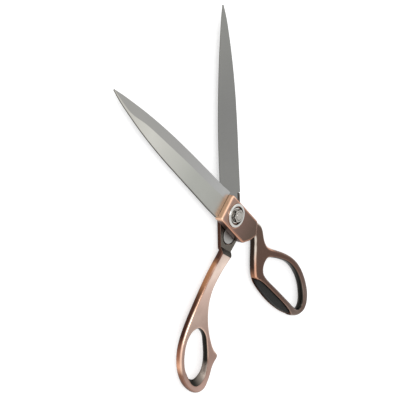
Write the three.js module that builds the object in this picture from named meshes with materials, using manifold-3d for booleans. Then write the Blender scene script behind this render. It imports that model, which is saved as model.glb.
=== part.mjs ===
// Fabric shears: two ground steel blades with keyed tangs, two die-cast bent handles,
// and one pivot bolt with its nut, washers, cup ring, bush and thrust washer.
//
// Units are millimetres and +Z is up. The shears lie on their rear side and the pivot axis is Z.
// The origin is on the pivot axis, at the flat underside of the bolt head. The blades point to -Y.
//
// Each half is drawn flat in its own frame: +X runs from the pivot to the blade's tip, and Z = 0 is
// the plane where the two halves meet. The finger half lies above that plane and the thumb half
// below it. When the shears are closed the two frames coincide.

import * as THREE from "three";
import { mergeVertices } from "three/addons/utils/BufferGeometryUtils.js";
import Module from "manifold-3d";

const wasm = await Module();
wasm.setup();

// ---- Driving dimensions ----

const OPEN_ANGLE = 45.2; // degrees between the blades as they lie
const BLADE_LENGTH = 141; // pivot to tip
const BLADE_THICKNESS = 2.4; // at the pivot
const TIP_THICKNESS = 1.1;
const EDGE_THICKNESS = 0.35; // the land left behind the cutting edge
const RUN_OUT = 9; // over this length the ground bevel runs out ahead of the hub

const HALF_GAP = 0.15; // from the meeting plane to each half's ground face
const SEAT_GAP = 0.1; // between pieces that sit on each other
const SIDE_GAP = 0.3; // round pieces let into the handles
const TANG_GROOVE = 1.0; // the open groove round each tang

const FINGER_HUB_HEIGHT = 6.8; // meeting plane to the front hub's face
const THUMB_HUB_DEPTH = 3.7; // meeting plane to the rear hub's face
const HUB_CHAMFER = 1.15;
const HUB_CORNER = 1.5; // how far each corner of a hub is rounded back, more than its chamfer

const FINGER_BAR = { low: -3.6, high: 2.8, round: 2.2 }; // the finger handle's flat bar
const THUMB_BAR = { low: -2.0, high: 3.2, round: 1.7, fall: 2.5 }; // the thumb handle's flat bar

// Each tang has a neck and, offset a little to the spine side, a round bulb.
const TANG = { back: -4, neck: 3.4, bulbX: -15.7, bulbOffset: 0.6, bulbRadius: 6.2 };

const BOLT_RADIUS = 3.0;
const BOLT_HEAD = { radius: 7.0, height: 1.1 };
const BOLT_SQUARE = 7.0; // across flats of the keyed neck
const BOLT_PROUD = 3.4; // stud end above the front hub's face
const REAR_WASHER = { inner: 5.3, outer: 7.8, thickness: 0.5 };
const SLEEVE = { outer: 4.5, clearance: 0.08 };
const THRUST = { outer: 5.6, thickness: 0.7 };
const WELL = { radius: 5.8, depth: 1.6 }; // the nut's seat in the front hub
const CUP_RING = { inner: 6.2, outer: 8.4, seat: 0.5, wall: 0.6, proud: 1.3 };
const SPRING_WASHER = { outer: 5.3, thickness: 0.45, rise: 0.35 };
const FLAT_WASHER = { outer: 5.4, thickness: 0.8 };
const NUT = { acrossFlats: 8.2, height: 2.6, clearance: 0.1 };

const PAD = { flange: 1.0, gap: 0.15, sunk: 1.2, pegRadius: 1.5, pegs: [-78, -100], pegLine: 21.4 };
const FLARE = { from: -90, to: -111, rear: 2.4, front: 2.0, floor: 1.3 }; // the thumb bow's sloped far end
const BEAK_GAP = 0.25; // between the closed thumb handle and the pad that its beak passes over

const ROUND_STEPS = 40; // facets round a turned piece
const BLADE_SECTIONS = 80; // along each blade
const THUMB_HOLE_STEPS = 150; // fine enough for its sloped end

// The underside of the bolt head is Z = 0, so the meeting plane stands this high.
const MEETING_PLANE = BOLT_HEAD.height + REAR_WASHER.thickness + 2 * SEAT_GAP + THUMB_HUB_DEPTH;

// ---- Outlines, in each half's own frame ----

// Width of a blade at stations along it: [distance from the pivot, cutting edge, facet line, spine].
const FINGER_STATIONS = [
  [11.6, -11.0, -4.8, 9.5], [22, -11.2, -4.2, 9.6], [35, -10.8, -3.5, 9.3],
  [60, -9.9, -2.6, 8.7], [85, -8.4, -1.2, 7.9], [106, -6.3, 0.2, 6.3],
  [122, -4.0, 2.6, 4.2], [133, -2.1, 1.5, 2.4], [141, -0.4, 0.1, 0.4],
];
const THUMB_STATIONS = [
  [12.6, 7.6, 1.2, -13.5], [24, 7.9, 0.8, -13.1], [38, 8.2, 0.6, -12.6],
  [60, 8.1, 0.4, -11.9], [85, 6.9, 0.0, -10.4], [106, 5.2, -0.8, -8.0],
  [122, 3.4, -3.2, -5.4], [133, 1.9, -2.0, -3.1], [141, 0.4, -0.2, -0.5],
];

const FINGER_HUB = [
  [11.6, -9.6], [11.6, 10.4], [-20.4, 10.9], [-26.4, 5.7], [-31.0, -1.0], [-24.8, -9.8],
];
const THUMB_HUB = [
  [12.4, -13.2], [12.4, 8.3], [-24.4, 8.8], [-29.5, 0.2], [-27.6, -2.4], [-21.5, -9.0], [-14, -13.2],
];

const FINGER_OUTLINE = [
  [-22, -9.6], [-30, -11.5], [-36.6, -12.2], [-40.8, -10.7], [-44.8, -8.0], [-49, -5.7], [-54.2, -4.5],
  [-60.4, -5.7], [-68, -8.3], [-76.5, -11.1], [-86.8, -13.6], [-97, -14.4], [-105.6, -13.5],
  [-113.2, -11.5], [-121, -8.2], [-127.8, -3.9], [-132.2, 0.7], [-134.6, 5.5], [-134.6, 10.6],
  [-131.2, 15.8], [-126, 19.4], [-119, 22.1], [-108.5, 24.3], [-97, 25.4], [-86, 25.6], [-75, 24.8],
  [-66.5, 23.7], [-60.5, 22.1], [-55.2, 18.9], [-49, 12.9], [-43.2, 6.2], [-38.4, 0.8], [-34.2, -2.4],
  [-28, -2.2], [-21, 0.5], [-15, -0.5], [-12.5, -4.5], [-15, -8.5],
];
const FINGER_HOLE = [
  [-61.3, 1.9], [-68.7, -2.2], [-77, -5.5], [-85, -7.9], [-93.5, -8.9], [-101.5, -8.3], [-109.2, -6.4],
  [-116.2, -3.3], [-122, 0.6], [-126.6, 5.0], [-128.6, 9.2], [-127.2, 12.6], [-122, 14.2],
  [-110, 14.3], [-90, 14.2], [-70, 14.1], [-64.2, 12.7], [-61.2, 9.6], [-60.2, 5.8],
];
const THUMB_OUTLINE = [
  [-18, 6.0], [-24, 10.5], [-30.2, 17.0], [-37.9, 24.8], [-46, 32.0], [-54.5, 39.1], [-62.7, 45.6],
  [-70.7, 51.2], [-78.4, 55.2], [-85.8, 57.2], [-93, 57.6], [-100.5, 56.5], [-107.5, 53.8],
  [-113.8, 49.2], [-118.3, 43.8], [-119.9, 38.4], [-118.8, 33.6], [-114.9, 29.9], [-110.4, 27.1],
  [-106, 24.9], [-103.1, 22.3], [-101.1, 19.8], [-99.1, 18.8], [-97.1, 19.7], [-94.4, 21.7],
  [-90.2, 23.7], [-84.4, 25.4], [-78, 26.7], [-71.5, 27.2], [-64.7, 26.9], [-56.9, 25.3], [-49.2, 21.5],
  [-43.2, 16.0], [-37.4, 9.4], [-32.8, 3.0], [-29.2, -1.6], [-18, -3.0],
];
const THUMB_HOLE = [
  [-72.3, 37.6], [-75.4, 33.9], [-80.3, 31.3], [-87.5, 30.6], [-95, 30.5], [-102.3, 31.3], [-107.8, 33.5],
  [-110.8, 37.2], [-111.6, 41.6], [-109.6, 45.8], [-105, 49.4], [-99.2, 51.8], [-93, 52.6],
  [-86.4, 52.1], [-80.4, 50.4], [-75.8, 47.6], [-73, 44.2], [-72.0, 40.8],
];

// The pad's seat in the finger handle, from its upper point to its lower one, and its outer edge.
const PAD_SEAT = [
  [-54, 22.6], [-60, 20.2], [-66, 19.0], [-74, 18.6], [-86, 18.5], [-99, 18.5], [-110, 18.9],
  [-116, 19.7], [-119.2, 21.2], [-120.6, 24],
];
const PAD_EDGE = [
  [-61.5, 20.6], [-65, 21.9], [-70, 22.9], [-78, 23.8], [-88, 24.4], [-98, 24.4], [-107, 23.6],
  [-114, 22.3], [-118.5, 20.9],
];

// The end of the front hub that faces the thumb handle's ramp, and how that ramp stands off it.
const HUB_END = { from: FINGER_HUB[3], to: FINGER_HUB[4] };
const RAMP = { foot: -2.4, head: 2.0 }; // offsets from the closed hub end
const HUB_RELIEF = { width: 2.9, slope: 0.76 };

// ---- Materials ----

const steel = new THREE.MeshStandardMaterial({ color: 0xa9a9a4, roughness: 0.36, metalness: 1.0 });
const copper = new THREE.MeshStandardMaterial({ color: 0x8d5f4b, roughness: 0.38, metalness: 1.0 });
const bright = new THREE.MeshStandardMaterial({ color: 0xd6d6d4, roughness: 0.16, metalness: 1.0 });
const bronze = new THREE.MeshStandardMaterial({ color: 0xa5793f, roughness: 0.4, metalness: 1.0 });
const rubber = new THREE.MeshStandardMaterial({ color: 0x23231f, roughness: 0.7, metalness: 0.0 });

// ---- Solids ----

// A closed geometry as a solid, with its faces turned outwards.
function solidOf(geometry) {
  const bare = geometry.index ? geometry.toNonIndexed() : geometry.clone();
  bare.deleteAttribute("normal");
  bare.deleteAttribute("uv");
  const merged = mergeVertices(bare, 1e-4);
  const index = merged.index.array;
  const at = merged.attributes.position.array;
  const kept = [];
  let volume = 0;
  for (let i = 0; i < index.length; i += 3) {
    const [a, b, c] = [index[i], index[i + 1], index[i + 2]];
    if (a === b || b === c || c === a) continue;
    kept.push(a, b, c);
    const pa = new THREE.Vector3().fromArray(at, 3 * a);
    const pb = new THREE.Vector3().fromArray(at, 3 * b);
    const pc = new THREE.Vector3().fromArray(at, 3 * c);
    volume += pa.dot(pb.cross(pc));
  }
  if (volume < 0) {
    kept.reverse();
  }
  return new wasm.Manifold(
    new wasm.Mesh({ numProp: 3, vertProperties: at, triVerts: new Uint32Array(kept) }),
  );
}

function geometryOf(solid) {
  const mesh = solid.getMesh();
  const geometry = new THREE.BufferGeometry();
  geometry.setAttribute("position", new THREE.BufferAttribute(new Float32Array(mesh.vertProperties), 3));
  geometry.setIndex(new THREE.BufferAttribute(new Uint32Array(mesh.triVerts), 1));
  geometry.computeVertexNormals();
  return geometry;
}

function piece(name, solid, material) {
  const mesh = new THREE.Mesh(geometryOf(solid), material);
  mesh.name = name;
  return mesh;
}

const flat = (points) => points.map(([x, y]) => new THREE.Vector2(x, y));

// A smooth curve through points, as a list of 2-D points.
function smooth(points, steps, closed) {
  const through = points.map(([x, y]) => new THREE.Vector3(x, y, 0));
  const curve = new THREE.CatmullRomCurve3(through, closed, "centripetal");
  const along = curve.getPoints(steps).map((p) => new THREE.Vector2(p.x, p.y));
  if (closed) along.pop();
  return along;
}

// A polygon with its corners rounded off.
function roundedPolygon(points, radius) {
  const shape = new THREE.Shape();
  const corners = flat(points);
  corners.forEach((corner, i) => {
    const before = corners[(i + corners.length - 1) % corners.length];
    const after = corners[(i + 1) % corners.length];
    const start = corner.clone().add(before.clone().sub(corner).setLength(radius));
    const end = corner.clone().add(after.clone().sub(corner).setLength(radius));
    if (i === 0) shape.moveTo(start.x, start.y);
    else shape.lineTo(start.x, start.y);
    shape.quadraticCurveTo(corner.x, corner.y, end.x, end.y);
  });
  return shape;
}

// A shape drawn out from low to high, with rounded rims top and bottom if round is given. The rims
// reach in by round and down by fall.
function prism(shape, low, high, round = 0, steps = 3, curveSegments = 3, fall = round) {
  const geometry = new THREE.ExtrudeGeometry(shape, {
    depth: high - low - 2 * fall,
    bevelEnabled: round > 0,
    bevelThickness: fall,
    bevelSize: round,
    bevelOffset: -round,
    bevelSegments: steps,
    curveSegments,
  });
  geometry.translate(0, 0, low + fall);
  return solidOf(geometry);
}

function disc(radius, low, high) {
  const geometry = new THREE.CylinderGeometry(radius, radius, high - low, ROUND_STEPS);
  geometry.rotateX(Math.PI / 2);
  geometry.translate(0, 0, (low + high) / 2);
  return solidOf(geometry);
}

// A turned piece, from its half section as [radius, height] points, anticlockwise.
function turned(section) {
  const geometry = new THREE.LatheGeometry(flat(section), ROUND_STEPS);
  geometry.rotateX(Math.PI / 2);
  return solidOf(geometry);
}

function washer(inner, outer, low, high, edge = 0.12) {
  return turned([
    [inner, low + edge], [inner + edge, low], [outer - edge, low], [outer, low + edge],
    [outer, high - edge], [outer - edge, high], [inner + edge, high], [inner, high - edge],
    [inner, low + edge],
  ]);
}

function squareBar(acrossFlats, low, high) {
  const geometry = new THREE.BoxGeometry(acrossFlats, acrossFlats, high - low);
  geometry.translate(0, 0, (low + high) / 2);
  return solidOf(geometry);
}

// A bar of constant section laid along the line between two plan points. The section's first
// coordinate is the offset to the left of the line and its second is the height.
function barAlong(from, to, before, after, section) {
  const [start, end] = flat([from, to]);
  const along = end.clone().sub(start);
  const geometry = new THREE.ExtrudeGeometry(new THREE.Shape(flat(section)), {
    depth: along.length() + before + after,
    bevelEnabled: false,
  });
  const forward = along.normalize();
  const basis = new THREE.Matrix4().makeBasis(
    new THREE.Vector3(-forward.y, forward.x, 0),
    new THREE.Vector3(0, 0, 1),
    new THREE.Vector3(forward.x, forward.y, 0),
  );
  geometry.applyMatrix4(basis);
  geometry.translate(start.x - forward.x * before, start.y - forward.y * before, 0);
  return solidOf(geometry);
}

// A closed skin over a row of sections with the same number of points each.
function loft(sections) {
  const count = sections[0].length;
  const at = sections.flat().flatMap((p) => p.toArray());
  const index = [];
  for (let s = 0; s + 1 < sections.length; s++) {
    for (let k = 0; k < count; k++) {
      const a = s * count + k;
      const b = s * count + ((k + 1) % count);
      index.push(a, b, b + count, a, b + count, a + count);
    }
  }
  const last = (sections.length - 1) * count;
  for (let k = 1; k + 1 < count; k++) {
    index.push(0, k + 1, k, last, last + k, last + k + 1);
  }
  const geometry = new THREE.BufferGeometry();
  geometry.setAttribute("position", new THREE.Float32BufferAttribute(at, 3));
  geometry.setIndex(index);
  return solidOf(geometry);
}

// ---- Blades ----

// The tang: a root nearly as wide as its hub, a neck, and a round bulb that keys into the casting.
// side is +1 where the cutting edge lies towards +Y.
function tangShape({ front, cut, spine, side }, grow) {
  const shape = new THREE.Shape();
  const neck = TANG.neck + grow;
  const bulb = TANG.bulbRadius + grow;
  const bulbY = -side * TANG.bulbOffset;
  const above = Math.asin((neck + TANG.bulbOffset) / bulb);
  const below = Math.asin((neck - TANG.bulbOffset) / bulb);
  const back = TANG.back - grow;
  shape.moveTo(front + 2 * grow, side * (cut + grow));
  shape.lineTo(back, side * (cut + grow));
  shape.quadraticCurveTo(back - 3, side * neck, back - 5, side * neck);
  shape.absarc(TANG.bulbX, bulbY, bulb, side * above, -side * below, side < 0);
  shape.lineTo(back - 5, -side * neck);
  shape.quadraticCurveTo(back - 3, -side * neck, back, -side * (spine + grow));
  shape.lineTo(front + 2 * grow, -side * (spine + grow));
  return shape;
}

function bladeSection([x, cut, facet, spine], front) {
  const share = Math.max(0, x - front) / (BLADE_LENGTH - front);
  const thickness = THREE.MathUtils.lerp(BLADE_THICKNESS, TIP_THICKNESS, share);
  const bevel = THREE.MathUtils.smoothstep(x, front, front + RUN_OUT);
  const land = THREE.MathUtils.lerp(thickness - 0.02, EDGE_THICKNESS, bevel);
  const outward = Math.sign(spine);
  return [
    [cut, 0], [cut, land], [facet, thickness], [spine - 0.25 * outward, thickness],
    [spine, thickness - 0.25], [spine, 0],
  ].map(([y, z]) => new THREE.Vector3(x, y, z));
}

// A blade with its inner face on Z = 0 and its ground facets above.
function bladeSolid(stations, root) {
  const front = stations[0][0];
  const scale = BLADE_LENGTH / stations[stations.length - 1][0];
  const columns = [1, 2, 3].map((c) => smooth(stations.map((s) => [s[0], s[c]]), BLADE_SECTIONS, false));
  const sections = columns[0].map((p, i) => {
    const x = i === 0 ? p.x : p.x * scale;
    return bladeSection([x, p.y, columns[1][i].y, columns[2][i].y], front);
  });
  const tang = prism(tangShape(root, 0), 0, BLADE_THICKNESS, 0, 1, 10);
  const recess = disc(THRUST.outer + SIDE_GAP, -1, (THRUST.thickness + 2 * SEAT_GAP) / 2 - HALF_GAP);
  return loft(sections).add(tang).subtract(recess);
}

// What the castings hold of each blade. The root reaches just past the shoulders of its blade.
const FINGER_ROOT = { front: FINGER_STATIONS[0][0] + 0.3, cut: 8.0, spine: 7.4, side: -1 };
const THUMB_ROOT = { front: THUMB_STATIONS[0][0] + 0.3, cut: 6.2, spine: 10.6, side: 1 };

function fingerBlade() {
  const bore = disc(SLEEVE.outer + SLEEVE.clearance, -1, BLADE_THICKNESS + 1);
  const solid = bladeSolid(FINGER_STATIONS, FINGER_ROOT).subtract(bore);
  return piece("finger_blade", solid.translate(0, 0, HALF_GAP), steel);
}

function thumbBlade() {
  const key = squareBar(BOLT_SQUARE + 2 * SEAT_GAP, -1, BLADE_THICKNESS + 1);
  const solid = bladeSolid(THUMB_STATIONS, THUMB_ROOT).subtract(key);
  return piece("thumb_blade", solid.mirror([0, 0, 1]).translate(0, 0, -HALF_GAP), steel);
}

// ---- Handles ----

const anticlockwise = (points) => (THREE.ShapeUtils.isClockWise(points) ? points.reverse() : points);

function barShape(outline, hole, outlineSteps, holeSteps) {
  const shape = new THREE.Shape(anticlockwise(smooth(outline, outlineSteps, true)));
  shape.holes.push(new THREE.Path(anticlockwise(smooth(hole, holeSteps, true))));
  return shape;
}

// The room that a tang and the cutting side of its blade take up in a casting.
function pocket(root) {
  return prism(tangShape(root, TANG_GROOVE), -2, BLADE_THICKNESS + SIDE_GAP, 0, 1, 10);
}

// A hole's outline with its far end moved along the handle by up to shift.
function farEndMoved(points, shift) {
  return points.map(([x, y]) => {
    const share = THREE.MathUtils.smoothstep(-x, -FLARE.from, -FLARE.to);
    return [x + shift * share, y];
  });
}

// The thumb bow's opening slopes outwards towards the front at its far end, as a rest for the thumb.
function thumbFlare() {
  const ring = (shift, z) =>
    anticlockwise(smooth(farEndMoved(THUMB_HOLE, shift), THUMB_HOLE_STEPS, true)).map((p) => new THREE.Vector3(p.x, p.y, z));
  return loft([
    ring(FLARE.rear, THUMB_BAR.low + FLARE.floor),
    ring(-FLARE.front, THUMB_BAR.high),
    ring(-FLARE.front, THUMB_BAR.high + 1),
  ]);
}

const pegAt = (x, radius, low, high) => disc(radius, low, high).translate(x, PAD.pegLine, 0);

function padRebate() {
  const seat = smooth(PAD_SEAT, 18, false);
  const outer = flat([[-128, 40], [-50, 40]]);
  const low = FINGER_BAR.low + PAD.flange;
  const cut = prism(new THREE.Shape([...seat, ...outer]), low, FINGER_BAR.high + 2);
  const holes = PAD.pegs.map((x) => pegAt(x, PAD.pegRadius + PAD.gap, FINGER_BAR.low - 1, low + 0.5));
  return holes.reduce((all, hole) => all.add(hole), cut);
}

function fingerHandle() {
  const bar = prism(
    barShape(FINGER_OUTLINE, FINGER_HOLE, 110, 64),
    FINGER_BAR.low, FINGER_BAR.high, FINGER_BAR.round,
  );
  // Under the front hub the bar stops short of the thumb half.
  const clear = new THREE.Shape(flat([[20, -30], [20, 30], [-31, 30], [-33, -1], [-34, -30]]));
  const hubShape = roundedPolygon(FINGER_HUB, HUB_CORNER);
  const hub = prism(hubShape, HALF_GAP, FINGER_HUB_HEIGHT, HUB_CHAMFER, 2);
  const relief = barAlong(HUB_END.from, HUB_END.to, 14, 1, [
    [HUB_RELIEF.width + 0.6, HALF_GAP - 0.6 * HUB_RELIEF.slope],
    [-3, HALF_GAP - 0.6 * HUB_RELIEF.slope],
    [-3, HALF_GAP + (HUB_RELIEF.width + 3) * HUB_RELIEF.slope],
  ]);
  const solid = bar
    .subtract(prism(clear, -20, HALF_GAP))
    .add(hub)
    .subtract(relief)
    .subtract(padRebate())
    .subtract(pocket(FINGER_ROOT))
    .subtract(disc(SLEEVE.outer + SLEEVE.clearance, -2, FINGER_HUB_HEIGHT + 2))
    .subtract(disc(WELL.radius, FINGER_HUB_HEIGHT - WELL.depth, FINGER_HUB_HEIGHT + 2))
    .subtract(disc(CUP_RING.outer + SEAT_GAP, FINGER_HUB_HEIGHT - CUP_RING.seat, FINGER_HUB_HEIGHT + 2));
  return piece("finger_handle", solid, copper);
}

function thumbHandle() {
  const bar = prism(
    barShape(THUMB_OUTLINE, farEndMoved(THUMB_HOLE, FLARE.rear), 110, THUMB_HOLE_STEPS),
    THUMB_BAR.low, THUMB_BAR.high, THUMB_BAR.round, 5, 3, THUMB_BAR.fall,
  );
  const hubShape = roundedPolygon(THUMB_HUB, HUB_CORNER);
  const hub = prism(hubShape, -THUMB_HUB_DEPTH, -HALF_GAP + HUB_CHAMFER, HUB_CHAMFER, 2);
  // Everything above the ground face goes, as far as the ramp that rises to the handle's front.
  const rise = THUMB_BAR.high + HALF_GAP;
  const run = RAMP.head - RAMP.foot;
  const top = 12;
  const ramp = barAlong(HUB_END.from, HUB_END.to, 40, 40, [
    [60, -HALF_GAP], [-RAMP.foot, -HALF_GAP], [-RAMP.foot - (run * top) / rise, top - HALF_GAP], [60, top],
  ]);
  // The beak passes in front of the grip pad, so what lies behind it is cut to the pad's edge.
  const padEdge = smooth(PAD_EDGE, 20, false).map((p) => new THREE.Vector2(p.x, p.y + BEAK_GAP));
  const inside = flat([[PAD_EDGE[PAD_EDGE.length - 1][0], 8], [PAD_EDGE[0][0], 8]]);
  const padTop = FINGER_BAR.high - PAD.sunk;
  const padRoom = prism(new THREE.Shape([...padEdge, ...inside]), THUMB_BAR.low - 1, padTop + BEAK_GAP);
  const solid = bar
    .add(hub)
    .subtract(ramp)
    .subtract(padRoom)
    .subtract(thumbFlare())
    .subtract(pocket(THUMB_ROOT).mirror([0, 0, 1]))
    .subtract(squareBar(BOLT_SQUARE + 2 * SEAT_GAP, -THUMB_HUB_DEPTH - 2, 2));
  return piece("thumb_handle", solid, copper);
}

function gripPad() {
  const low = FINGER_BAR.low + PAD.flange + SEAT_GAP;
  const high = FINGER_BAR.high - PAD.sunk;
  const [first, last] = [PAD_EDGE[0], PAD_EDGE[PAD_EDGE.length - 1]];
  const seat = smooth(PAD_SEAT, 24, false)
    .filter((p) => p.x < first[0] - 1 && p.x > last[0] + 1)
    .map((p) => new THREE.Vector2(p.x, p.y + PAD.gap));
  const edge = smooth(PAD_EDGE, 20, false).reverse();
  const body = prism(new THREE.Shape([...seat, ...edge]), low, high);
  const pegs = PAD.pegs.map((x) => pegAt(x, PAD.pegRadius, FINGER_BAR.low + 0.2, low + 1));
  const solid = pegs.reduce((all, peg) => all.add(peg), body);
  return piece("grip_pad", solid, rubber);
}

// ---- Pivot ----

function pivotBolt() {
  const under = -MEETING_PLANE;
  const seat = under + BOLT_HEAD.height;
  const neckTop = -HALF_GAP - 0.4;
  const end = FINGER_HUB_HEIGHT + BOLT_PROUD;
  const r = BOLT_HEAD.radius;
  const head = turned([
    [0, under], [r - 0.5, under], [r, under + 0.5], [r, seat - 0.2], [r - 0.2, seat], [0, seat],
  ]);
  const neck = squareBar(BOLT_SQUARE, seat - 0.3, neckTop);
  const shank = turned([
    [0, neckTop - 0.3], [BOLT_RADIUS, neckTop - 0.3], [BOLT_RADIUS, end - 0.7],
    [BOLT_RADIUS - 0.4, end - 0.2], [BOLT_RADIUS - 0.9, end], [0, end],
  ]);
  return piece("pivot_bolt", head.add(neck).add(shank), bright);
}

function rearWasher() {
  const low = -MEETING_PLANE + BOLT_HEAD.height + SEAT_GAP;
  return piece(
    "rear_washer",
    washer(REAR_WASHER.inner, REAR_WASHER.outer, low, low + REAR_WASHER.thickness),
    bright,
  );
}

function thrustWasher() {
  const half = THRUST.thickness / 2;
  const inner = BOLT_RADIUS + SIDE_GAP;
  return piece("thrust_washer", washer(inner, THRUST.outer, -half, half), bronze);
}

function pivotSleeve() {
  const inner = BOLT_RADIUS + SLEEVE.clearance;
  const high = FINGER_HUB_HEIGHT - WELL.depth - SEAT_GAP;
  return piece("pivot_sleeve", washer(inner, SLEEVE.outer, THRUST.thickness / 2 + SEAT_GAP, high), bronze);
}

// The bright ring round the nut: a torus-like rim let into the hub's face.
function cupRing() {
  const low = FINGER_HUB_HEIGHT - CUP_RING.seat + SEAT_GAP;
  const face = FINGER_HUB_HEIGHT;
  const half = (CUP_RING.outer - CUP_RING.inner) / 2;
  const rise = CUP_RING.proud - CUP_RING.wall;
  const section = [[CUP_RING.inner, low], [CUP_RING.outer, low]];
  for (let i = 0; i <= 8; i++) {
    const turn = (Math.PI * i) / 8;
    section.push([
      CUP_RING.inner + half * (1 + Math.cos(turn)),
      face + CUP_RING.wall + rise * Math.sin(turn),
    ]);
  }
  section.push([CUP_RING.inner, low]);
  return piece("cup_ring", turned(section), bright);
}

const NUT_SEAT = FINGER_HUB_HEIGHT - WELL.depth;

// A dished spring washer that keeps the halves together.
function springWasher() {
  const low = NUT_SEAT + SEAT_GAP;
  const { outer, thickness, rise } = SPRING_WASHER;
  const inner = BOLT_RADIUS + SIDE_GAP;
  const section = [
    [inner, low + rise], [outer, low], [outer, low + thickness], [inner, low + rise + thickness],
    [inner, low + rise],
  ];
  return piece("spring_washer", turned(section), bright);
}

const WASHER_SEAT = NUT_SEAT + SPRING_WASHER.thickness + SPRING_WASHER.rise + 2 * SEAT_GAP;

function flatWasher() {
  return piece(
    "flat_washer",
    washer(BOLT_RADIUS + SIDE_GAP, FLAT_WASHER.outer, WASHER_SEAT, WASHER_SEAT + FLAT_WASHER.thickness),
    bright,
  );
}

function adjustingNut() {
  const low = WASHER_SEAT + FLAT_WASHER.thickness + SEAT_GAP;
  const corner = NUT.acrossFlats / Math.sqrt(3);
  const hexagon = new THREE.CylinderGeometry(corner, corner, NUT.height, 6);
  hexagon.rotateX(Math.PI / 2);
  hexagon.translate(0, 0, low + NUT.height / 2);
  const r = NUT.acrossFlats / 2;
  const chamfer = turned([
    [0, low - 1], [corner + 1, low - 1], [corner + 1, low + NUT.height - 1],
    [r - 0.1, low + NUT.height + 0.15], [0, low + NUT.height + 0.15],
  ]);
  const bore = disc(BOLT_RADIUS + NUT.clearance, low - 1, low + NUT.height + 1);
  return piece("adjusting_nut", solidOf(hexagon).intersect(chamfer).subtract(bore), bright);
}

// ---- The shears ----

function fingerHalf() {
  const half = new THREE.Group();
  half.add(fingerBlade(), fingerHandle(), gripPad(), pivotSleeve(), cupRing());
  half.rotation.z = THREE.MathUtils.degToRad(-90 + OPEN_ANGLE / 2);
  return half;
}

function thumbHalf() {
  const half = new THREE.Group();
  half.add(thumbBlade(), thumbHandle(), pivotBolt(), rearWasher());
  half.add(thrustWasher(), springWasher(), flatWasher(), adjustingNut());
  half.rotation.z = THREE.MathUtils.degToRad(-90 - OPEN_ANGLE / 2);
  return half;
}

const shears = new THREE.Group();
shears.add(fingerHalf(), thumbHalf());
shears.position.z = MEETING_PLANE;

export default shears;
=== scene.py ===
"""Fabric shears: the finished surfaces and finer meshes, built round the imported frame. Metres, +Z up."""
import math

import bmesh
import bpy
import numpy as np
from mathutils import Matrix, Vector
from mathutils.bvhtree import BVHTree


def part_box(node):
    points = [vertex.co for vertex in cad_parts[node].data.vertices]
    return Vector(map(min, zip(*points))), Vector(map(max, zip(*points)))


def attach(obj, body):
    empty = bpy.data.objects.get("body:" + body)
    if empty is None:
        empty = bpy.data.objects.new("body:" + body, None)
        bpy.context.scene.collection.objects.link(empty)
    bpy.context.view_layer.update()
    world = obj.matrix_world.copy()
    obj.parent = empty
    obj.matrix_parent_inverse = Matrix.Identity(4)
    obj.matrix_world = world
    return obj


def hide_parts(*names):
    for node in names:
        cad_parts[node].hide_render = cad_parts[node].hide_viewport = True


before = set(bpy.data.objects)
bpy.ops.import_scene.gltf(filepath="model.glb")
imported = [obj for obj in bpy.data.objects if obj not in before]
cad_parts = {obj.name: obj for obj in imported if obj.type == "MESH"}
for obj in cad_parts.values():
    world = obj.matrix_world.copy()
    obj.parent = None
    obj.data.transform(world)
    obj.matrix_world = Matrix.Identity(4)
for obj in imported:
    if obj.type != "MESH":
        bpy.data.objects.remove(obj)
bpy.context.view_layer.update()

MM = 0.001

# ---- The two halves, as they lie ----
OPEN_ANGLE = 45.2  # degrees between the blades
FINGER_TURN = math.radians(-90 + OPEN_ANGLE / 2)  # the finger half's own +X, as a turn about Z
THUMB_TURN = math.radians(-90 - OPEN_ANGLE / 2)
MEETING_PLANE = 5.5 * MM
FINGER_BOW = (-94, 4)  # middle of each bow's opening in its half's own frame, mm
THUMB_BOW = (-92, 41)
FINGER_REACH, THUMB_REACH = 36, 24  # how far along the half each opening's wall reaches from there, mm
# Where each blade's cutting bevel ends: distance from the pivot and y in its half's own frame, mm
FINGER_FACET = [(11.6, -4.8), (22, -4.2), (35, -3.5), (60, -2.6), (85, -1.2), (106, 0.2), (122, 2.6), (141, 0.1)]
THUMB_FACET = [(12.6, 1.2), (24, 0.8), (60, 0.4), (85, 0.0), (106, -0.8), (122, -3.2), (141, -0.2)]

# ---- The cup ring, mm ----
RING_INNER = 6.2
RING_CREST = 0.7  # height of its rounded rim

# ---- Camera ----
CAMERA_AZIMUTH, CAMERA_ELEVATION, CAMERA_ROLL = 46.55, 40.0, 101.8  # degrees
CAMERA_AIM = Vector((0.0203, -0.0266, 0.0055))
CAMERA_DISTANCE = 0.5523
CAMERA_LENS, CAMERA_SENSOR = 75.12, 36.0  # mm


def srgb(r, g, b):
    """An 8-bit display colour as a linear one."""
    def linear(v):
        v /= 255
        return v / 12.92 if v <= 0.04045 else ((v + 0.055) / 1.055) ** 2.4
    return (linear(r), linear(g), linear(b), 1.0)


# ---- Node graphs ----

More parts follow.
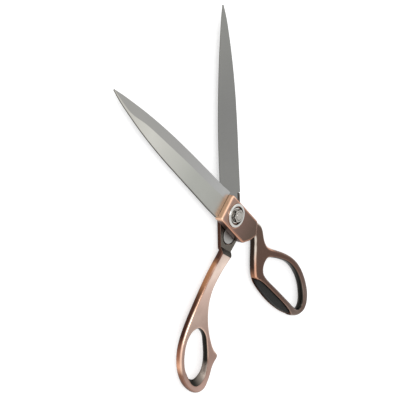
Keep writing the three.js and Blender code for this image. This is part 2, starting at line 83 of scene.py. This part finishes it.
class Graph:
    """A material's node tree, with a few short ways to add to it."""

    def __init__(self, name):
        self.material = bpy.data.materials.new(name)
        self.material.use_nodes = True
        self.tree = self.material.node_tree
        self.tree.nodes.clear()
        self.out = self.tree.nodes.new("ShaderNodeOutputMaterial")

    def node(self, kind, settings=None, **inputs):
        made = self.tree.nodes.new("ShaderNode" + kind)
        for key, value in (settings or {}).items():
            setattr(made, key, value)
        for key, value in inputs.items():
            self.put(made, key.replace("_", " "), value)
        return made

    def put(self, node, socket, value):
        """Sets or links an input, found by its name, or by its number written as n0, n1 and so on."""
        key = int(socket[1:]) if socket[0] == "n" and socket[1:].isdigit() else socket
        into = node.inputs[key]
        if isinstance(value, bpy.types.NodeSocket):
            self.tree.links.new(value, into)
        else:
            into.default_value = value

    def math(self, operation, *values):
        made = self.node("Math", {"operation": operation})
        for i, value in enumerate(values):
            self.put(made, f"n{i}", value)
        return made.outputs[0]

    def range(self, value, low, high, to_low=0.0, to_high=1.0, soft=True):
        made = self.node("MapRange", {"interpolation_type": "SMOOTHSTEP" if soft else "LINEAR"})
        for i, v in enumerate((value, low, high, to_low, to_high)):
            self.put(made, f"n{i}", v)
        return made.outputs[0]

    def mix(self, factor, a, b, blend="MIX"):
        made = self.node("Mix", {"data_type": "RGBA", "blend_type": blend})
        self.put(made, "n0", factor)
        self.put(made, "n6", a)
        self.put(made, "n7", b)
        return made.outputs[2]

    def ramp(self, value, stops):
        """Colours along a value: stops are (position 0 to 1, colour)."""
        made = self.node("ValToRGB")
        ramp = made.color_ramp
        while len(ramp.elements) < len(stops):
            ramp.elements.new(0.5)
        for element, (position, colour) in zip(ramp.elements, stops):
            element.position, element.color = position, colour
        self.put(made, "n0", value)
        return made.outputs[0]

    def rounded_normal(self, radius, samples=4):
        """The normal, rounded over edges nearer than the radius in mm."""
        return self.node("Bevel", {"samples": samples}, Radius=radius * MM).outputs[0]

    def half_frame(self, turn):
        """A point's place in a half's own frame, in mm: the vector, and its x, y and z."""
        at = self.node("TexCoord").outputs["Object"]
        turned = self.node("VectorRotate", {"rotation_type": "Z_AXIS"}, Vector=at, Angle=-turn)
        scaled = self.node("VectorMath", {"operation": "SCALE"}, Vector=turned.outputs[0])
        self.put(scaled, "Scale", 1 / MM)
        apart = self.node("SeparateXYZ", Vector=scaled.outputs[0])
        return scaled.outputs[0], apart.outputs[0], apart.outputs[1], apart.outputs[2]

    def noise(self, at, scale, detail=3.0, roughness=0.5, stretch=(1, 1, 1)):
        placed = self.node("Mapping", Vector=at, Scale=stretch)
        made = self.node("TexNoise", Vector=placed.outputs[0], Scale=scale, Detail=detail, Roughness=roughness)
        return made.outputs["Fac"]

    def slope(self):
        """Which way the surface faces: 1 straight up, 0 on a wall, -1 straight down."""
        normal = self.node("NewGeometry").outputs["Normal"]
        return self.node("SeparateXYZ", Vector=normal).outputs[2]

    def attribute(self, name):
        return self.node("Attribute", {"attribute_name": name}).outputs["Fac"]

    def bump(self, height, strength, distance, normal=None):
        made = self.node("Bump", Height=height, Strength=strength, Distance=distance)
        if normal is not None:
            self.put(made, "Normal", normal)
        return made.outputs[0]

    def surface(self, **inputs):
        made = self.node("BsdfPrincipled", **inputs)
        self.tree.links.new(made.outputs[0], self.out.inputs[0])
        return self.material


# ---- Materials ----

EDGE_ROUND, BAR_ROUND = 0.5, 2.2  # radii over which the copper's worn edges and its broad highlights turn, mm
# The copper's noises: scale per mm, detail and roughness
CLOUD = (0.09, 4.0, 0.6)
GRAIN = (1.6, 3.0, 0.6)
RIPPLE = (2.6, 2.0)
SWAY = (0.06, 2.0)
COPPER_EDGE = srgb(240, 198, 174)
COPPER_DARK = srgb(84, 56, 46)
# Black: the plate's patina inside the bows, and painted shade in the pockets
BLACK_PATINA_AND_SHADE = srgb(46, 45, 41)
# Painted reflection: the light streak along the bows' blackened walls
STREAK_REFLECTION = srgb(150, 144, 136)
RUBBED_GROUND = srgb(104, 99, 92)
RUBBED_DARK = srgb(88, 82, 75)
RAMP_DARK = srgb(60, 57, 51)
# Painted highlight on the thumb rest
REST_HIGHLIGHT = srgb(176, 162, 152)


def antique_copper(name, turn, faces, rims, walls, span, belly, streak, rest=None):
    """Copper plate, blackened and then relieved. faces, rims and walls are the colours along the handle, between
    the two ends in span, with painted light in them: painted highlights and reflections on the rims and faces,
    painted shade and painted highlights on the walls. The blackened walls carry a painted reflection, a light
    streak at the height belly, between the two ends in streak. rest is the slanted thumb rest: where along the
    handle it starts and is complete, and between which places across the handle it fades from black to a painted
    highlight.
    All are in mm."""
    g = Graph(name)
    at, x, y, z = g.half_frame(turn)
    along = g.range(x, span[0], span[1], soft=False)
    cloud = g.noise(at, *CLOUD)
    grain = g.noise(at, *GRAIN)
    wander = g.math("MULTIPLY_ADD", g.math("SUBTRACT", cloud, 0.5), 0.03, along)
    slope = g.slope()
    up = g.math("ABSOLUTE", slope)
    normal = g.node("NewGeometry").outputs["Normal"]

    def bend(radius, samples):
        """The rounded normal, and how far it turns from the face's own: 1 not at all."""
        rounded = g.rounded_normal(radius, samples)
        dot = g.node("VectorMath", {"operation": "DOT_PRODUCT"}, n0=rounded, n1=normal)
        return rounded, dot.outputs["Value"]

    corner, turned = bend(EDGE_ROUND, 4)
    broad, leaning = bend(BAR_ROUND, 8)

    # The level faces, the rims and the walls, each with its own colour along the handle, with painted highlights,
    # reflections and shade in it
    # Painted highlight: the rims' colour spread onto the level faces near their edges
    rim_highlight_band = g.math("MULTIPLY", g.range(leaning, 0.999, 0.95), 0.85)
    face = g.mix(rim_highlight_band, g.ramp(wander, faces), g.ramp(wander, rims))
    body = g.mix(g.range(slope, 0.25, 0.68), g.ramp(wander, walls), g.ramp(wander, rims))
    body = g.mix(g.range(up, 0.84, 0.99), body, face)

    # Wear: bare edges, dark clouds and bright specks
    worn = g.math("MULTIPLY", g.range(turned, 0.99, 0.92), g.range(grain, 0.1, 0.5, 0.6, 1.0))
    body = g.mix(g.math("MULTIPLY", worn, 0.28), body, COPPER_EDGE)
    body = g.mix(g.math("MULTIPLY", g.range(cloud, 0.4, 0.75), 0.14), body, COPPER_DARK)
    body = g.mix(g.math("MULTIPLY", g.range(grain, 0.5, 0.85), 0.07), body, COPPER_EDGE)

    # Bare metal where the halves slide on each other, and the dark ramp beside it
    rubbed = g.mix(g.range(grain, 0.3, 0.7), RUBBED_GROUND, RUBBED_DARK)
    body = g.mix(g.attribute("ground_face"), body, rubbed)
    body = g.mix(g.attribute("ramp_face"), body, RAMP_DARK)

    # Black inside the bows: the plate's black patina. Black on the pockets' facing walls and floors: painted
    # shade. Along the middle of the bows' walls runs a painted reflection
    inner = g.attribute("inner_wall")
    black = g.math("MULTIPLY", inner, g.range(up, 0.93, 0.6))
    black = g.math("MAXIMUM", black, g.attribute("shaded_pocket_floor"))
    # Painted reflection: a light streak along the middle of the bows' blackened walls
    sway = g.math("MULTIPLY_ADD", g.noise(at, *SWAY), 1.6, g.math("SUBTRACT", z, belly + 0.8))
    reflection_band = g.math("MULTIPLY", g.range(sway, -0.5, 0.0), g.range(sway, 0.5, 0.0))
    near, far = streak
    reflection_band = g.math("MULTIPLY", reflection_band, g.range(x, near, near - 8))
    reflection_band = g.math("MULTIPLY", reflection_band, g.range(x, far, far + 5))
    body = g.mix(black, body, g.mix(g.math("MULTIPLY", reflection_band, 0.8), BLACK_PATINA_AND_SHADE, STREAK_REFLECTION))
    rough = g.math("MULTIPLY_ADD", grain, 0.1, 0.25)
    rough = g.math("SUBTRACT", rough, g.math("MULTIPLY", black, 0.12))

    # The thumb rest is rubbed matt, fading across it from black to a painted highlight, and its start is shaded
    # softly
    if rest:
        start, end, dark, bare = rest
        slanted = g.math("MULTIPLY", inner, g.range(x, start, end))
        slanted = g.math("MULTIPLY", slanted, g.range(up, 0.97, 0.88))
        body = g.mix(slanted, body, g.mix(g.range(y, dark, bare), BLACK_PATINA_AND_SHADE, REST_HIGHLIGHT))
        soft = g.math("MULTIPLY", inner, g.range(x, start + 8, start))
        rough = g.math("MULTIPLY_ADD", soft, 0.25, rough)
        corner = g.mix(soft, corner, broad)
    bumped = g.bump(g.noise(at, *RIPPLE), 0.05, 0.05 * MM, corner)
    return g.surface(Base_Color=body, Metallic=1.0, Roughness=rough, Normal=bumped)


def ground_steel(name, turn, tone, low, high, across, streaks):
    """Steel with grinding marks of the strength streaks, across the blade or else along it. tone is its colour
    along the blade, which on the flat holds a painted reflection and on the edges painted shade. low and high are
    its roughness."""
    g = Graph(name)
    at, x, _, _ = g.half_frame(turn)
    stretch = (1.0, 0.03, 0.03) if across else (0.03, 1.0, 1.0)
    marks = g.noise(at, 3.2, 5.0, 0.7, stretch)
    broad = g.noise(at, 0.05, 3.0, 0.5)
    base = g.ramp(g.range(x, *BLADE_SPAN, soft=False), tone)
    shade = g.math("MULTIPLY_ADD", marks, streaks, 1 - streaks / 2)
    shade = g.math("MULTIPLY", shade, g.math("MULTIPLY_ADD", broad, 0.08, 0.96))
    grey = g.node("CombineColor", n0=shade, n1=shade, n2=shade).outputs[0]
    body = g.mix(1.0, base, grey, "MULTIPLY")
    rough = g.range(marks, 0.3, 0.7, low, high)
    corner = g.rounded_normal(0.2)
    bumped = g.bump(marks, 0.05, 0.02 * MM, corner)
    return g.surface(Base_Color=body, Metallic=1.0, Roughness=rough, Normal=bumped)


def bright_metal(name, colour, grime_and_shade, low, high, smudges=0.25, out_of_shade=None):
    """Turned metal with fine rings of wear, between the roughnesses low and high. smudges is the share of the
    grime colour on it. clean is where it comes out of the painted shade in the well, which is drawn in the grime
    colour: ("radius" or "height", start, end), in mm."""
    g = Graph(name)
    at, x, y, z = g.half_frame(0)
    radius = g.math("SQRT", g.math("ADD", g.math("MULTIPLY", x, x), g.math("MULTIPLY", y, y)))
    rings = g.node("CombineXYZ", n0=radius, n2=z).outputs[0]
    turned = g.noise(rings, 3.0, 3.0, 0.6)
    smudge = g.noise(at, 0.35, 2.0, 0.5)
    body = g.mix(g.math("MULTIPLY", g.range(smudge, 0.35, 0.75), smudges), colour, grime_and_shade)
    if out_of_shade:
        along, start, end = out_of_shade
        body = g.mix(g.range(radius if along == "radius" else z, start, end), grime_and_shade, body)
    rough = g.range(turned, 0.3, 0.7, low, high)
    bumped = g.bump(turned, 0.04, 0.01 * MM, g.rounded_normal(0.12))
    return g.surface(Base_Color=body, Metallic=1.0, Roughness=rough, Normal=bumped)


def pad_rubber():
    """Matt black rubber with fine grit in it."""
    g = Graph("pad_rubber")
    at = g.half_frame(FINGER_TURN)[0]
    speckle = g.noise(at, 1.1, 4.0, 0.7)
    scuff = g.noise(at, 0.3, 4.0, 0.6)
    body = g.mix(g.range(speckle, 0.35, 0.7), srgb(5, 5, 4), srgb(28, 28, 24))
    body = g.mix(g.math("MULTIPLY", g.range(scuff, 0.5, 0.8), 0.4), body, srgb(44, 43, 38))
    body = g.mix(g.math("MULTIPLY", g.range(speckle, 0.68, 0.76), 0.7), body, srgb(150, 148, 138))
    rough = g.range(speckle, 0.3, 0.7, 0.45, 0.7)
    bumped = g.bump(speckle, 0.3, 0.12 * MM, g.rounded_normal(0.6))
    return g.surface(Base_Color=body, Roughness=rough, Specular_IOR_Level=0.25, Normal=bumped)


# The stretch along its half's own frame over which each part's colours are given, mm
FINGER_SPAN = (-135, 12)
THUMB_SPAN = (-120, 12)
BLADE_SPAN = (-25, 141)


def stops(span, *rows):
    """Ramp stops from rows of (distance along the half in mm, red, green, blue)."""
    low, high = span
    return [((x - low) / (high - low), srgb(*rgb)) for x, *rgb in rows]


# These colours hold painted light: highlights and reflections on the rims and faces, shade and bright patches on
# the walls
finger_copper = antique_copper(
    "finger_copper", FINGER_TURN,
    faces=stops(FINGER_SPAN, (-135, 92, 72, 62), (-127, 110, 93, 84), (-118, 102, 84, 76), (-104, 90, 68, 58),
                (-80, 84, 59, 48), (-45, 90, 68, 57), (-24, 94, 77, 67), (-8, 118, 94, 85), (8, 156, 128, 116)),
    rims=stops(FINGER_SPAN, (-135, 88, 68, 57), (-120, 150, 132, 122), (-100, 120, 88, 74), (-66, 124, 92, 77),
               (-58, 230, 174, 144), (-51, 224, 172, 146), (-43, 228, 216, 203), (-33, 208, 198, 186),
               (-28, 190, 140, 116), (6, 214, 158, 130), (10, 255, 210, 180)),
    walls=stops(FINGER_SPAN, (-135, 84, 60, 50), (-110, 96, 68, 56), (-66, 104, 72, 58), (-59, 186, 130, 100),
                (-52, 62, 48, 41), (-34, 40, 37, 32), (-26, 84, 56, 46), (8, 104, 68, 54), (10.5, 255, 206, 172)),
    span=FINGER_SPAN, belly=3.6, streak=(-108, -131),
)
# These colours hold painted light: highlights and reflections on the rims and faces, shade and bright patches on
# the walls
thumb_copper = antique_copper(
    "thumb_copper", THUMB_TURN,
    faces=stops(THUMB_SPAN, (-120, 188, 156, 144), (-100, 160, 132, 121), (-84, 156, 128, 118),
                (-66, 182, 158, 145), (-50, 206, 178, 165), (-36, 244, 222, 208), (-10, 120, 104, 94)),
    rims=stops(THUMB_SPAN, (-120, 154, 118, 103), (-100, 144, 108, 93), (-94, 250, 214, 190),
               (-84, 248, 208, 186), (-62, 246, 214, 194), (-56, 206, 168, 146), (-46, 158, 120, 100),
               (-37, 154, 116, 96), (-33, 206, 168, 148), (-30, 104, 72, 60)),
    walls=stops(THUMB_SPAN, (-120, 92, 60, 48), (-107, 116, 80, 64), (-99, 150, 108, 86), (-93, 250, 190, 155),
                (-86, 168, 114, 90), (-72, 66, 38, 30), (-53, 82, 52, 40), (-48, 118, 80, 58),
                (-43, 176, 124, 88), (-30.5, 190, 136, 98), (-28, 84, 56, 46), (12, 80, 52, 42)),
    span=THUMB_SPAN, belly=4.6, streak=(-84, -106), rest=(-98, -105, 44, 28),
)
# Painted reflection: the flat's tone lighter towards the tip
FLAT_TONE_AND_REFLECTION = stops(BLADE_SPAN, (0, 162, 163, 158), (49, 172, 173, 167), (99, 206, 205, 198),
                  (141, 190, 188, 180))
BEVEL_TONE = stops(BLADE_SPAN, (12, 172, 173, 172), (30, 168, 168, 167), (70, 160, 159, 157),
                   (141, 160, 159, 155))
GROUND_TONE = stops(BLADE_SPAN, (-25, 172, 171, 168), (-8, 170, 169, 166), (2, 136, 136, 133),
                    (70, 130, 130, 128), (141, 144, 144, 140))
# Painted shade: the blades' edges and spine darker than the flat
EDGE_SHADE_TONE = stops(BLADE_SPAN, (0, 84, 82, 76), (85, 78, 74, 66), (141, 110, 106, 98))
flat_steel = ground_steel("polished_flat", FINGER_TURN, FLAT_TONE_AND_REFLECTION, 0.29, 0.35, False, 0.025)
edge_steel = ground_steel("blade_edges", FINGER_TURN, EDGE_SHADE_TONE, 0.3, 0.42, False, 0.06)
bevel_steel = ground_steel("ground_bevel", FINGER_TURN, BEVEL_TONE, 0.28, 0.42, True, 0.08)
inner_steel = ground_steel("ground_face", THUMB_TURN, GROUND_TONE, 0.34, 0.5, True, 0.09)
# Painted shade: the ring darkens at its inner edge, down into the well
ring_metal = bright_metal("ring_metal", srgb(210, 209, 205), srgb(70, 66, 62), 0.14, 0.2, 0.1,
                          out_of_shade=("radius", 6.3, 7.0))
# Painted shade: the nut darkens towards its foot in the well
nut_metal = bright_metal("nut_metal", srgb(180, 176, 170), srgb(74, 70, 66), 0.2, 0.28, 0.15,
                         out_of_shade=("height", 12.7, 13.6))
plain_metal = bright_metal("plain_metal", srgb(214, 211, 206), srgb(120, 116, 112), 0.22, 0.32)
dull_metal = bright_metal("dull_metal", srgb(118, 114, 110), srgb(84, 80, 76), 0.25, 0.4)
bronze = bright_metal("bronze", srgb(170, 132, 76), srgb(128, 96, 52), 0.25, 0.4)
rubber = pad_rubber()


# ---- Meshes ----

SHARP_ANGLE = math.radians(34)  # faces that meet at more than this aren't shaded as one
BORDER_ANGLE = math.radians(6)  # the same, between two finishes
WELD_DISTANCE = 0.002 * MM
FLAT_ANGLE = math.radians(0.3)  # faces that meet at less than this are merged
NORMAL_WEIGHT = 50  # large and small faces count the same


def in_half(points, turn):
    """Points of the shared frame as points of a half's own frame, in mm."""
    return np.asarray(points, float) @ np.array(Matrix.Rotation(turn, 3, "Z")) / MM


def welded(node):
    """A CAD node's mesh with its faces joined up and its level faces merged."""
    bm = bmesh.new()
    bm.from_mesh(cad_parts[node].data)
    bmesh.ops.remove_doubles(bm, verts=bm.verts, dist=WELD_DISTANCE)
    bmesh.ops.dissolve_limit(bm, angle_limit=FLAT_ANGLE, verts=bm.verts, edges=bm.edges)
    return bm


def to_object(bm, name, materials, body, slot, *nodes):
    """The mesh as a piece that stands for nodes, shaded smooth but for sharp edges and borders of finishes."""
    mesh = bpy.data.meshes.new(name)
    bmesh.ops.recalc_face_normals(bm, faces=bm.faces)
    bm.edges.index_update()
    borders = [edge.index for edge in bm.edges if edge.calc_face_angle(0) > BORDER_ANGLE
               and len({face.material_index for face in edge.link_faces}) > 1]
    bm.to_mesh(mesh)
    bm.free()
    for material in materials:
        mesh.materials.append(material)
    mesh.polygons.foreach_set("use_smooth", [True] * len(mesh.polygons))
    mesh.set_sharp_from_angle(angle=SHARP_ANGLE)
    for border in borders:
        mesh.edges[border].use_edge_sharp = True
    obj = bpy.data.objects.new(name, mesh)
    bpy.context.scene.collection.objects.link(obj)
    weighted = obj.modifiers.new("even_normals", "WEIGHTED_NORMAL")
    weighted.keep_sharp = True
    weighted.weight = NORMAL_WEIGHT
    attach(obj, body)
    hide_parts(*nodes)


NECK_END = -33  # where a half's hub ends and its neck begins, mm along the half
# Pocket walls that face each other, and the pockets' floors, are marked for painted shade
FACING_REACH = 17 * MM  # walls of a pocket face each other across less than this
POCKET_FLOORS = [(2.2 * MM, 4.9 * MM), (10.2 * MM, 11.4 * MM)]  # heights of the tang's and the nut's floors
LEVEL = 0.98  # a face whose normal stands up by more than this counts as level
RAMP_AT, RAMP_REACH = -31, 6  # where the ramp lies along the half, and how far from there, mm
RAMP_AREA = 8 * MM * MM  # its face is larger than this


def handle_skin(node, turn, bow, reach, material, body):
    """The handle's casting. Its faces are marked: the walls inside the bow and the pockets, the pockets'
    floors, the ground face that the other half slides on, and the ramp from it to the handle's front. bow is
    the middle of the bow's opening, and reach how far the opening's wall goes from it along the half."""
    bm = welded(node)
    bm.normal_update()
    inner = bm.faces.layers.float.new("inner_wall")
    ground = bm.faces.layers.float.new("ground_face")
    ramp = bm.faces.layers.float.new("ramp_face")
    floor = bm.faces.layers.float.new("shaded_pocket_floor")
    tree = BVHTree.FromBMesh(bm)
    middle = np.array(bow)
    for face in bm.faces:
        centre, normal = face.calc_center_median(), face.normal
        at = in_half([centre], turn)[0]
        outward = (in_half([normal], turn)[0] * MM)[:2]
        inward = middle - at[:2]
        steep = abs(normal.z) < LEVEL
        if at[0] < NECK_END:
            face[inner] = float(steep and outward @ inward > 0 and abs(inward[0]) < reach)
        # In the hub: walls facing another wall close by, marked for painted shade
        elif abs(normal.z) < 0.5:
            hit = tree.ray_cast(centre + normal * 0.02 * MM, normal, FACING_REACH)
            face[inner] = float(hit[0] is not None)
        level = abs(normal.z) > LEVEL and at[0] > NECK_END - 3
        face[ground] = float(level and abs(centre.z - MEETING_PLANE) < 0.4 * MM)
        face[floor] = float(level and any(low < centre.z < high for low, high in POCKET_FLOORS))
        at_ramp = abs(at[0] - RAMP_AT) < RAMP_REACH
        face[ramp] = float(0.3 < normal.z < 0.9 and face.calc_area() > RAMP_AREA and at_ramp)
    to_object(bm, node + "_casting", [material], body, "handle_copper", node)


def plain_skin(node, name, material, body, slot):
    to_object(welded(node), name, [material], body, slot, node)


BLADE_FINISHES = [inner_steel, flat_steel, bevel_steel, edge_steel]
INNER, FLAT, BEVEL, EDGE = range(4)  # their places in that list


def blade_skin(node, name, body, turn, facet, side):
    """A blade whose ground face, polished flat and cutting bevel each have their own finish. facet is the line
    between flat and bevel, and side is +1 where the cutting edge lies towards +Y."""
    bm = welded(node)
    for face in bm.faces:
        centre = face.calc_center_median()
        x, y = in_half([centre], turn)[0][:2]
        up = face.normal.z * (1 if centre.z > MEETING_PLANE else -1)
        past_line = (y - np.interp(x, *zip(*facet))) * side > 0 and x > facet[0][0]
        if up < -0.9:
            face.material_index = INNER
        elif up < 0.5:
            face.material_index = EDGE
        else:
            face.material_index = BEVEL if past_line else FLAT
    to_object(bm, name, BLADE_FINISHES, body, "blade_steel", node)


def turned_ring(bm, radius, height, steps=96):
    """New vertices on a circle round the pivot, with its radius and height in mm."""
    angles = [math.tau * i / steps for i in range(steps)]
    return [bm.verts.new((radius * MM * math.cos(a), radius * MM * math.sin(a), height * MM)) for a in angles]


def ring_piece():
    """The cup ring: a wide flat foot let into the hub, and a rounded rim."""
    low, high = (np.array(c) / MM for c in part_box("cup_ring"))
    outer = (high[0] - low[0]) / 2
    middle, half = (RING_INNER + outer) / 2, (outer - RING_INNER) / 2
    section = [(RING_INNER, low[2]), (outer, low[2])]
    section += [(middle + half * math.cos(a), high[2] - RING_CREST + RING_CREST * math.sin(a))
                for a in (math.pi * i / 20 for i in range(21))]
    bm = bmesh.new()
    rings = [turned_ring(bm, radius, height) for radius, height in section]
    for below, above in zip(rings, rings[1:] + rings[:1]):
        for i in range(len(below)):
            k = (i + 1) % len(below)
            bm.faces.new((below[i], below[k], above[k], above[i]))
    to_object(bm, "cup_ring_polished", [ring_metal], "finger_half", "bright_hardware", "cup_ring")


handle_skin("finger_handle", FINGER_TURN, FINGER_BOW, FINGER_REACH, finger_copper, "finger_half")
handle_skin("thumb_handle", THUMB_TURN, THUMB_BOW, THUMB_REACH, thumb_copper, "thumb_half")
blade_skin("finger_blade", "finger_blade_ground", "finger_half", FINGER_TURN, FINGER_FACET, -1)
blade_skin("thumb_blade", "thumb_blade_ground", "thumb_half", THUMB_TURN, THUMB_FACET, 1)
plain_skin("grip_pad", "grip_pad_rubber", rubber, "finger_half", "pad_rubber")
ring_piece()
plain_skin("adjusting_nut", "adjusting_nut_polished", nut_metal, "thumb_half", "bright_hardware")
plain_skin("pivot_bolt", "pivot_bolt_polished", nut_metal, "thumb_half", "bright_hardware")
plain_skin("flat_washer", "flat_washer_polished", plain_metal, "thumb_half", "bright_hardware")
for hidden, material in (("rear_washer", plain_metal), ("spring_washer", dull_metal),
                         ("thrust_washer", bronze), ("pivot_sleeve", bronze)):
    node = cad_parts[hidden]
    node.data.materials.clear()
    node.data.materials.append(material)


# ---- Studio ----

def place_camera():
    """The camera: turned round the aim, raised above it, and rolled about its own line of sight."""
    azimuth, elevation, roll = map(math.radians, (CAMERA_AZIMUTH, CAMERA_ELEVATION, CAMERA_ROLL))
    level = Vector((math.cos(azimuth), math.sin(azimuth), 0))
    back = Vector((math.sin(azimuth) * math.cos(elevation), -math.cos(azimuth) * math.cos(elevation),
                   math.sin(elevation)))
    upright = back.cross(level)
    right = level * math.cos(roll) + upright * math.sin(roll)
    data = bpy.data.cameras.new("camera")
    data.lens, data.sensor_width = CAMERA_LENS, CAMERA_SENSOR
    data.clip_start, data.clip_end = 0.01, 20
    camera = bpy.data.objects.new("camera", data)
    turn = Matrix((right, back.cross(right), back)).transposed().to_4x4()
    camera.matrix_world = Matrix.Translation(CAMERA_AIM + back * CAMERA_DISTANCE) @ turn
    bpy.context.scene.collection.objects.link(camera)
    bpy.context.scene.camera = camera


def area_light(name, at, aim, size, power):
    """A square lamp turned to the aim. In metres and watts."""
    data = bpy.data.lights.new(name, "AREA")
    data.shape, data.size, data.energy = "SQUARE", size, power
    light = bpy.data.objects.new(name, data)
    light.location = at
    light.rotation_euler = (Vector(aim) - Vector(at)).to_track_quat("-Z", "Y").to_euler()
    bpy.context.scene.collection.objects.link(light)


def ray_is(tree, *kinds):
    """1 for the given kinds of ray."""
    path = tree.nodes.new("ShaderNodeLightPath")
    total = path.outputs[f"Is {kinds[0]} Ray"]
    for kind in kinds[1:]:
        both = tree.nodes.new("ShaderNodeMath")
        both.operation = "MAXIMUM"
        tree.links.new(total, both.inputs[0])
        tree.links.new(path.outputs[f"Is {kind} Ray"], both.inputs[1])
        total = both.outputs[0]
    return total


WORLD_LIGHT = 0.62  # the world's strength on dull surfaces, and 1 where it is seen or mirrored
FLOOR_GLOW = 0.55  # the floor's own light that the camera sees
FLOOR_SHEEN = 0.2  # the same in the metal's reflections
FLOOR_HEIGHT = -0.0002
KEY_AT, KEY_SIZE, KEY_POWER = (0.40, -0.55, 0.85), 0.45, 3.0
FILL_AT, FILL_SIZE, FILL_POWER = (-0.9, -0.5, 0.9), 0.9, 1.5


def studio():
    """A white world and floor, so that the picture's ground is white and keeps the shears' shadow."""
    world = bpy.data.worlds.new("studio")
    world.use_nodes = True
    tree = world.node_tree
    background = tree.nodes["Background"]
    background.inputs[0].default_value = (1, 1, 1, 1)
    strength = tree.nodes.new("ShaderNodeMapRange")
    strength.inputs[3].default_value = WORLD_LIGHT
    strength.inputs[4].default_value = 1.0
    tree.links.new(ray_is(tree, "Camera", "Glossy", "Transmission"), strength.inputs[0])
    tree.links.new(strength.outputs[0], background.inputs[1])
    bpy.context.scene.world = world

    g = Graph("floor_white")
    at = g.node("TexCoord").outputs["Object"]
    fleck = g.noise(at, 40.0, 2.0)
    pale = g.mix(fleck, srgb(228, 228, 228), srgb(234, 234, 234))
    diffuse = g.node("BsdfDiffuse", Color=pale)
    glow = g.node("Emission", Color=(1, 1, 1, 1))
    sheen = g.math("MULTIPLY", ray_is(g.tree, "Glossy", "Transmission"), FLOOR_SHEEN)
    g.put(glow, "Strength", g.math("MULTIPLY_ADD", ray_is(g.tree, "Camera"), FLOOR_GLOW, sheen))
    both = g.node("AddShader")
    g.tree.links.new(diffuse.outputs[0], both.inputs[0])
    g.tree.links.new(glow.outputs[0], both.inputs[1])
    g.tree.links.new(both.outputs[0], g.out.inputs[0])
    bm = bmesh.new()
    bmesh.ops.create_grid(bm, x_segments=1, y_segments=1, size=3.0)
    mesh = bpy.data.meshes.new("floor")
    bm.to_mesh(mesh)
    bm.free()
    mesh.materials.append(g.material)
    floor = bpy.data.objects.new("floor", mesh)
    floor.location.z = FLOOR_HEIGHT
    bpy.context.scene.collection.objects.link(floor)

    area_light("key", KEY_AT, (0, 0, 0), KEY_SIZE, KEY_POWER)
    area_light("fill", FILL_AT, (0, 0, 0), FILL_SIZE, FILL_POWER)


place_camera()
studio()
bpy.context.scene.view_settings.view_transform = "Standard"
